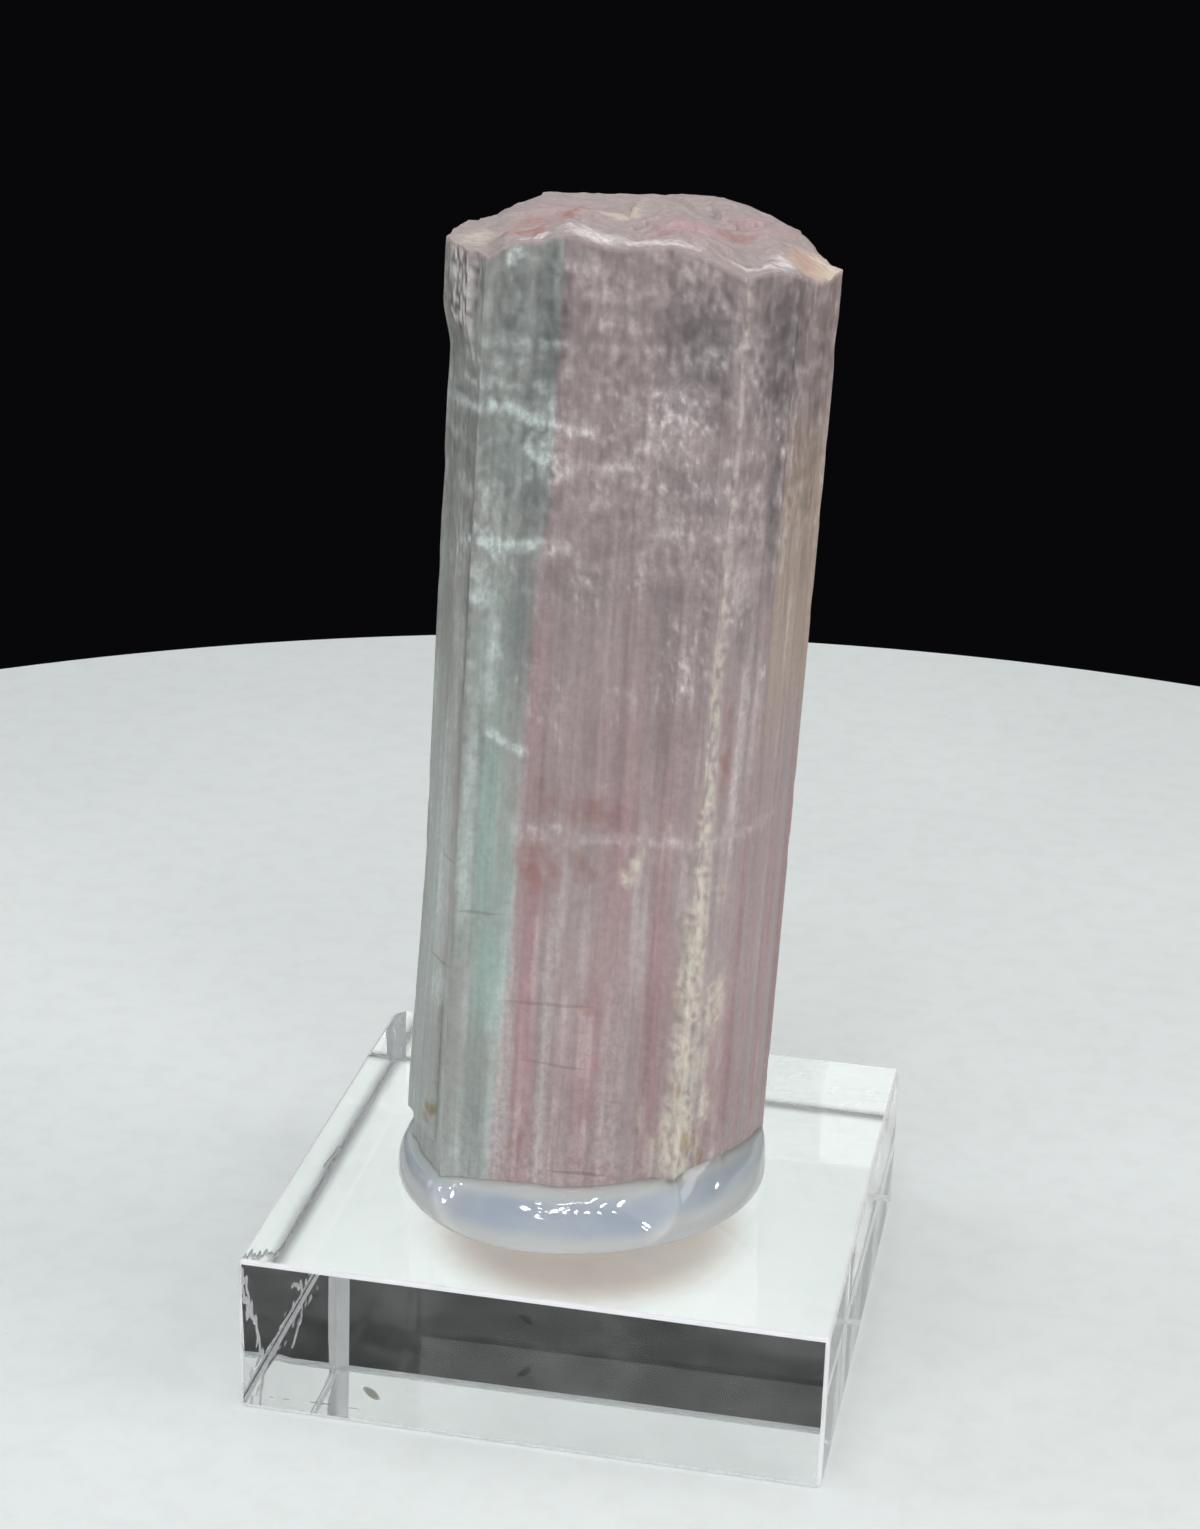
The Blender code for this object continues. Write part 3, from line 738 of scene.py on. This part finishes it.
def makeTack(material):
    shape = tackShape
    section = shape["section"]
    strips = outlineStrips()
    standing = stanceMatrix()
    piece = ringBlank(strips)
    bpy.ops.mesh.edge_face_add()
    bpy.ops.mesh.select_mode(type="FACE")
    for _ in section:
        bpy.ops.mesh.extrude_region_move(TRANSFORM_OT_translate={"value": (0, 0, mm)})
    bpy.ops.mesh.select_all(action="SELECT")
    bpy.ops.mesh.normals_make_consistent(inside=False)
    bpy.ops.object.mode_set(mode="OBJECT")
    points = readPoints(piece.data)
    centre = Vector((*shape["centre"], 0.0))
    slope = math.sin(math.radians(stance["lean"]))
    steps = [round(point[2] / mm) for point in points]
    for index, number in enumerate(nearestStrips(points, strips)):
        step = steps[index]
        strip = strips[number]
        smoothEdge = standing @ (Vector((strip[0], strip[1], 1.0)) * mm) / mm
        outward = Vector((smoothEdge.x, smoothEdge.y, 0.0)) - centre
        turn = math.degrees(math.atan2(outward.y, outward.x))
        climb = float(aroundLevel(shape["climb"], turn))
        climb += shape["unevenness"] * noise.noise(Vector((strip[4] * 0.35, 2.0, 0.0)))
        if step < len(section) - 1:
            out, narrowUp, wideUp = section[step]
            reach = outward.normalized() * float(aroundLevel(shape["reach"], turn)) + centre
            beyond = (reach - centre).length - outward.length
            wide = float(ease((beyond - shape["wideFrom"]) / shape["wideBy"]))
            up = narrowUp + (wideUp - narrowUp) * wide
            edge = smoothEdge.lerp(reach, out)
            risen = up * shape["bead"] + (climb - shape["bead"]) * (1.0 - out) ** shape["drawn"]
            points[index] = (edge.x, edge.y, shape["floor"] + risen)
        else:
            # the last two rings run down the carved wall into the pocket under the foot
            rim = shape["floor"] + climb - stance["foot"][2] + slope * strip[0]
            height = rim if step < len(section) else -shape["pocketDepth"]
            x, y = wallPoint(strip, height)
            wall = Vector((x + strip[2] * shape["hug"], y + strip[3] * shape["hug"], height))
            points[index] = standing @ (wall * mm) / mm
    # the pad is lighter at its foot and against the crystal, and bluish on its shoulder: partly the tack's
    # own milk, partly painted light for the bright lower rim and the pale band by the crystal
    nearClear, farClear = shape["clearBand"]
    fade = shape["clearFade"]
    outs = np.array([section[step][0] if step < len(section) else 0.0 for step in steps])
    paintLayer(piece, "milkAndRimLight", 1.0 - ease((farClear - outs) / fade) * ease((outs - nearClear) / fade))
    writePoints(piece.data, points * mm)
    finishPiece(piece, "tack_bead", "mineral_tack", material, 60.0)


# the light tone is the tack's milk and partly painted light on its lower rim and by the crystal
tackLook = {"gel": (0.56, 0.64, 0.75), "paleGel": (0.66, 0.73, 0.81), "milkAndRimLight": (0.89, 0.92, 0.93)}


def tackMaterial():
    look = tackLook
    material, tree, shader = newMaterial("tack")
    coords = addNode(tree, "ShaderNodeTexCoord").outputs["Object"]
    cloud = grain(tree, coords, 180.0, (1.0, 1.0, 1.0), 3.0)
    gel = blend(tree, ramp(tree, cloud, 0.35, 0.7), look["gel"], look["paleGel"])
    tone = blend(tree, fromMesh(tree, "milkAndRimLight"), gel, look["milkAndRimLight"])
    feed(tree, shader, {"Base Color": tone, "Roughness": 0.45, "IOR": 1.45, "Transmission Weight": 0.45,
                        "Subsurface Weight": 0.8, "Subsurface Radius": (1.0, 1.0, 1.2),
                        "Subsurface Scale": 2.0 * mm, "Coat Weight": 1.0, "Coat Roughness": 0.012})
    dimples = grain(tree, coords, 420.0, (1.0, 1.0, 1.0), 2.0)
    addBump(tree, shader, dimples, 0.05 * mm, 0.3)
    return material


# The acrylic block: polished all round but for its left side, which is sawn

blockShape = {
    "side": 35.0,
    "height": 10.0,
    "edge": 0.25,
    # the upright edge at the back left is cut off wider than the rest, and the left side is sawn (mm)
    "chamfer": 0.75,
    "sawnInset": 0.1,
    "sawMargin": 0.4,
    "sawDepth": 0.05,
    "sawFade": (0.9, 1.0),
    "chipTop": 1.8,
    "crackDepth": 0.07,
    "crackReach": (0.24, 0.05),
    "crackJitter": (0.8, 0.15),
    # how straight a face has to point along an axis to be polished, elsewhere and in the sawn side
    "flatTurn": 0.9995,
    "sawnTurn": 0.75,
    # cracks in the sawn side: (distance behind the front, height), in mm
    "cracks": [[(0.4, 9.3), (2.3, 7.9), (3.5, 6.0), (4.4, 4.8), (5.6, 3.0), (6.3, 1.8), (8.0, 0.5),
                (9.7, 0.35), (11.5, 0.55), (13.9, 0.30), (16.2, 0.15), (17.8, 0.3), (18.5, 0.6),
                (21.0, 0.35), (21.4, 0.6), (19.7, 1.5), (17.8, 2.2)],
               [(1.2, 8.3), (2.0, 6.6), (2.9, 5.2)]],
}


def nearCrack(back, height):
    # 1 on a crack of the sawn side and 0 away from it
    wide, high = blockShape["crackReach"]
    nearest = 9.0
    for crack in blockShape["cracks"]:
        for (startY, startZ), (endY, endZ) in zip(crack, crack[1:]):
            runY, runZ = (endY - startY) / wide, (endZ - startZ) / high
            offY, offZ = (back - startY) / wide, (height - startZ) / high
            share = min(max((offY * runY + offZ * runZ) / (runY * runY + runZ * runZ), 0.0), 1.0)
            nearest = min(nearest, math.hypot(offY - runY * share, offZ - runZ * share))
    return float(ease(1.5 - nearest))


def makeBlock(material):
    shape = blockShape
    half = shape["side"] / 2 * mm
    clearSelection()
    bpy.ops.mesh.primitive_cube_add(size=1.0, location=(0, 0, shape["height"] / 2 * mm))
    piece = bpy.context.object
    piece.scale = (shape["side"] * mm, shape["side"] * mm, shape["height"] * mm)
    bpy.ops.object.transform_apply(location=True, rotation=True, scale=True)
    bpy.ops.object.mode_set(mode="EDIT")
    selectEdges(piece, lambda edge: all(vert.co.x < 0.0 < vert.co.y for vert in edge.verts))
    bpy.ops.mesh.bevel(offset=shape["chamfer"] * mm, segments=1)
    bpy.ops.object.mode_set(mode="OBJECT")
    rounding = piece.modifiers.new("rounding", "BEVEL")
    rounding.width = shape["edge"] * mm
    rounding.segments = 3
    rounding.angle_limit = math.radians(60.0)
    bpy.ops.object.modifier_apply(modifier="rounding")
    bpy.ops.object.mode_set(mode="EDIT")
    bpy.ops.mesh.select_mode(type="FACE")
    bpy.ops.mesh.select_all(action="DESELECT")
    form = bmesh.from_edit_mesh(piece.data)
    for face in form.faces:
        face.select = face.normal.x < -0.99 and face.calc_area() > 1e-4
    bmesh.update_edit_mesh(piece.data)
    bpy.ops.mesh.inset(thickness=shape["sawnInset"] * mm)
    bpy.ops.mesh.subdivide(number_cuts=100)
    bpy.ops.mesh.subdivide(number_cuts=1)
    bpy.ops.object.mode_set(mode="OBJECT")
    points = readPoints(piece.data)
    cracked = np.zeros(len(points))
    fadeUp, fadeAlong = shape["sawFade"]
    jitterAlong, jitterUp = shape["crackJitter"]
    for index, (x, y, z) in enumerate(points):
        if x < -half + 1e-7:
            # the saw marks fade out towards the side's own edges
            inward = (half - abs(y)) / mm - shape["sawMargin"]
            hold = float(ease(min(z / mm, shape["height"] - z / mm) / fadeUp) * ease(inward / fadeAlong))
            wave = noise.noise(Vector((y * 190.0, z * 150.0, 1.0)))
            jagged = noise.noise(Vector((y * 1100.0, z * 900.0, 2.0)))
            crack = nearCrack((y + half) / mm + jitterAlong * jagged, z / mm + jitterUp * jagged)
            points[index, 0] += mm * (shape["sawDepth"] * hold * (0.9 + wave) + shape["crackDepth"] * crack)
            chips = max(0.0, noise.noise(Vector((y * 900.0, z * 1500.0, 4.0))) - 0.25)
            chips *= float(ease(shape["chipTop"] - z / mm))
            cracked[index] = max(crack, min(1.0, 3.0 * chips))
    writePoints(piece.data, points)
    # edges, cracks and chips are frosted; the flats are polished
    frost = []
    for face in piece.data.polygons:
        sawn = face.center.x < -half + 0.5 * mm and abs(face.normal.x) > shape["sawnTurn"]
        flat = sawn or max(abs(part) for part in face.normal) > shape["flatTurn"]
        frost.append(max(cracked[corner] for corner in face.vertices) * 0.9 if flat else 1.0)
    paintLayer(piece, "frost", frost, "FACE")
    finishPiece(piece, "clear_block", "acrylic_block", material, 12.0)


blockLook = {
    "clear": (0.985, 0.995, 0.99),
    "frosted": (0.93, 0.93, 0.96),
    "chipAndDashTone": (0.24, 0.24, 0.20),
    # a dark chip low on the front, and two painted dark dashes on the top by the left edge, an image of the
    # block's bottom back edge seen through it; rows as for marks
    "chips": [(-9.35, -17.5, 2.2, 0.74, 0.34, -36, 1.0)],
    "paintedDashes": [(-17.1, 10.1, 10.0, 0.5, 0.4, 0, 0.9), (-15.1, 10.0, 10.0, 0.45, 0.4, 0, 0.7)],
    "haze": 0.03,
    "ior": 1.49,
    "absorption": (0.86, 0.95, 0.92),
    "absorptionDensity": 3.0,
}


def acrylicMaterial():
    look = blockLook
    material, tree, shader = newMaterial("acrylic")
    coords = addNode(tree, "ShaderNodeTexCoord").outputs["Object"]
    streaks = grain(tree, coords, 2600.0, (1.0, 1.0, 0.10), 2.0, 0.7)
    smudge = grain(tree, coords, 160.0, (1.0, 1.0, 1.6), 3.0, 0.6)
    frost = calc(tree, "MULTIPLY", fromMesh(tree, "frost"), ramp(tree, streaks, 0.3, 0.62, 0.62, 1.15))
    frost = calc(tree, "ADD", frost, ramp(tree, smudge, 0.40, 0.72, 0.0, look["haze"] * 2.0), True)
    # the dark chip, and the painted dark dashes standing in for the bottom back edge seen through the top
    chipsAndPaintedDashes = calc(tree, "MAXIMUM", marks(tree, coords, look["chips"], 0.4),
                   marks(tree, coords, look["paintedDashes"], 0.4, 0.16))
    tone = blend(tree, chipsAndPaintedDashes, blend(tree, frost, look["clear"], look["frosted"]), look["chipAndDashTone"])
    clear = ramp(tree, calc(tree, "MAXIMUM", frost, chipsAndPaintedDashes), 0.0, 1.0, 1.0, 0.12, False)
    rough = ramp(tree, frost, 0.08, 0.8, 0.0, 0.45, False)
    feed(tree, shader, {"Base Color": tone, "Transmission Weight": clear, "IOR": look["ior"],
                        "Roughness": rough})
    addAbsorption(tree, look)
    return material


# The pale round table, the lights and the camera

setting = {
    "tableCentre": (7.2, -5.4),
    "tableRadius": 140.4,
    "tableThick": 6.0,
    "tableEdge": 1.0,
    "airFilm": 0.03,
    "tableTones": ((0.63, 0.67, 0.66), (0.69, 0.73, 0.72)),
    # the tone and the spot of a painted brownish shadow on the table under the crystal's pad
    "padShadowTone": (0.58, 0.51, 0.455),
    "padShadowSpot": [(0.0, -1.0, 0.0, 11.2, 11.2, 0, 1.0)],
    "glow": 0.17,
    # painted light: extra glow under the block, the edge of its square, and its tones in the open and in the
    # pad's painted shadow
    "glowUnderBlock": 0.50,
    "glowEdge": (17.4, 16.5),
    "glowTones": ((0.95, 1.0, 0.98), (1.0, 0.90, 0.82)),
    "padShadow": 0.37,
    "camera": (32.27, -165.23, 101.30),
    "yaw": -11.115,
    "pitch": 21.070,
    "roll": 1.730,
    "lens": 36.0 * 3024.4 / 1529.0,
    "aim": (0.0, 0.0, 0.03),
    "lampPower": 90.0,
}


def tableMaterial():
    material, tree, shader = newMaterial("table")
    coords = addNode(tree, "ShaderNodeTexCoord").outputs["Object"]
    cloud = grain(tree, coords, 14.0, (1.0, 1.0, 1.0), 4.0)
    dust = grain(tree, coords, 420.0, (1.0, 1.0, 1.0), 3.0, 0.6)
    tone = blend(tree, ramp(tree, cloud, 0.35, 0.7), *setting["tableTones"])
    shade = ramp(tree, dust, 0.30, 0.60, 0.965, 1.01)
    specks = ramp(tree, dust, 0.745, 0.79, 0.0, -0.25)
    tone = scaled(tree, tone, calc(tree, "ADD", shade, specks))
    # painted light: the table glows a little all over, and more under the block, standing in for the light
    # the block lets through;
    # under the crystal's pad a painted brownish shadow dims the glow and darkens the tone
    axes = addNode(tree, "ShaderNodeSeparateXYZ", {0: coords}).outputs
    square = calc(tree, "MAXIMUM", calc(tree, "ABSOLUTE", axes[0]), calc(tree, "ABSOLUTE", axes[1]))
    outer, inner = setting["glowEdge"]
    under = ramp(tree, square, inner * mm, outer * mm, 1.0, 0.0)
    padShade = calc(tree, "MULTIPLY", marks(tree, coords, setting["padShadowSpot"], 0.38, 11.2), under)
    tone = blend(tree, padShade, tone, setting["padShadowTone"])
    glow = blend(tree, padShade, *setting["glowTones"])
    strength = calc(tree, "ADD", calc(tree, "MULTIPLY", under, setting["glowUnderBlock"]), setting["glow"])
    strength = calc(tree, "SUBTRACT", strength, calc(tree, "MULTIPLY", padShade, setting["padShadow"]))
    feed(tree, shader, {"Base Color": tone, "Roughness": 0.6, "Specular IOR Level": 0.2,
                        "Emission Color": glow, "Emission Strength": strength})
    return material


def makeTable(material):
    clearSelection()
    x, y = setting["tableCentre"]
    thick = setting["tableThick"]
    bpy.ops.mesh.primitive_cylinder_add(vertices=256, radius=setting["tableRadius"] * mm, depth=thick * mm,
                                        location=(x * mm, y * mm, -(thick / 2 + setting["airFilm"]) * mm))
    table = bpy.context.object
    table.name = "round_table"
    edge = table.modifiers.new("edge", "BEVEL")
    edge.width = setting["tableEdge"] * mm
    edge.segments = 3
    bpy.ops.object.modifier_apply(modifier="edge")
    bpy.ops.object.transform_apply(location=True, rotation=True, scale=True)
    bpy.ops.object.shade_smooth_by_angle(angle=math.radians(40.0))
    table.data.materials.append(material)


# soft panels: name, place, size, power, colour
panels = [("overhead", (0.0, 0.0, 0.75), (0.8, 0.8), 0.58, (0.98, 0.99, 1.0)),
          ("front_fill", (0.05, -0.62, 0.38), (1.1, 0.8), 4.0, (0.99, 0.99, 1.0)),
          ("left_fill", (-0.50, 0.0, 0.42), (0.4, 0.4), 0.97, (0.98, 0.98, 1.0)),
          ("right_fill", (0.50, 0.0, 0.42), (0.4, 0.4), 1.6, (1.0, 0.98, 0.98)),
          ("back_fill", (0.0, 0.40, 0.50), (0.9, 0.4), 0.8, (0.97, 0.98, 1.0))]


def addPanel(name, place, size, power, colour=(1.0, 1.0, 1.0)):
    light = bpy.data.lights.new(name, "AREA")
    light.shape = "RECTANGLE"
    light.size, light.size_y = size
    light.energy = power
    light.color = colour
    panel = bpy.data.objects.new(name, light)
    panel.location = place
    panel.rotation_euler = (Vector(setting["aim"]) - Vector(place)).to_track_quat("-Z", "Y").to_euler()
    bpy.context.scene.collection.objects.link(panel)
    return panel


# small lamps whose glints show on the pad: (x, y, z, width), in metres
lamps = [(-0.075, -0.027, 0.384, 0.0169), (-0.058, -0.001, 0.387, 0.0065), (-0.055, 0.009, 0.387, 0.0046),
         (-0.059, 0.009, 0.387, 0.0065), (-0.056, -0.041, 0.386, 0.0130), (-0.029, -0.129, 0.371, 0.0169),
         (0.001, -0.203, 0.338, 0.0312), (-0.056, -0.017, 0.387, 0.0039), (-0.049, -0.022, 0.388, 0.0039),
         (-0.046, -0.028, 0.388, 0.0046), (-0.039, -0.038, 0.388, 0.0065), (-0.028, -0.056, 0.388, 0.0084),
         (-0.017, -0.084, 0.384, 0.0104), (-0.004, -0.116, 0.376, 0.0111), (0.025, -0.169, 0.356, 0.0143),
         (0.384, 0.053, 0.031, 0.0143), (0.350, 0.185, 0.018, 0.0117)]


def lightUp():
    for panel in panels:
        addPanel(*panel)
    for number, (x, y, z, wide) in enumerate(lamps):
        lamp = addPanel("lamp_%d" % number, (x, y, z), (wide, wide), setting["lampPower"] * wide * wide)
        lamp.data.shape = "DISK"
    world = bpy.data.worlds.new("dark_room")
    world.use_nodes = True
    world.node_tree.nodes["Background"].inputs["Color"].default_value = (0.0024, 0.0024, 0.003, 1.0)
    bpy.context.scene.world = world


def aimCamera():
    lens = bpy.data.cameras.new("camera")
    lens.sensor_width = 36.0
    lens.lens = setting["lens"]
    lens.clip_start = 0.01
    lens.clip_end = 5.0
    camera = bpy.data.objects.new("camera", lens)
    bpy.context.scene.collection.objects.link(camera)
    turn = Matrix.Rotation(-math.radians(setting["yaw"]), 4, "Z")
    tip = Matrix.Rotation(math.radians(90.0 - setting["pitch"]), 4, "X")
    lean = Matrix.Rotation(math.radians(setting["roll"]), 4, "Z")
    camera.matrix_world = Matrix.Translation(Vector(setting["camera"]) * mm) @ turn @ tip @ lean
    bpy.context.scene.camera = camera


aimCamera()
lightUp()
makeTable(tableMaterial())
makeBlock(acrylicMaterial())
makeTack(tackMaterial())
makeCrystal(tourmalineMaterial())
bpy.context.scene.view_settings.view_transform = "Standard"
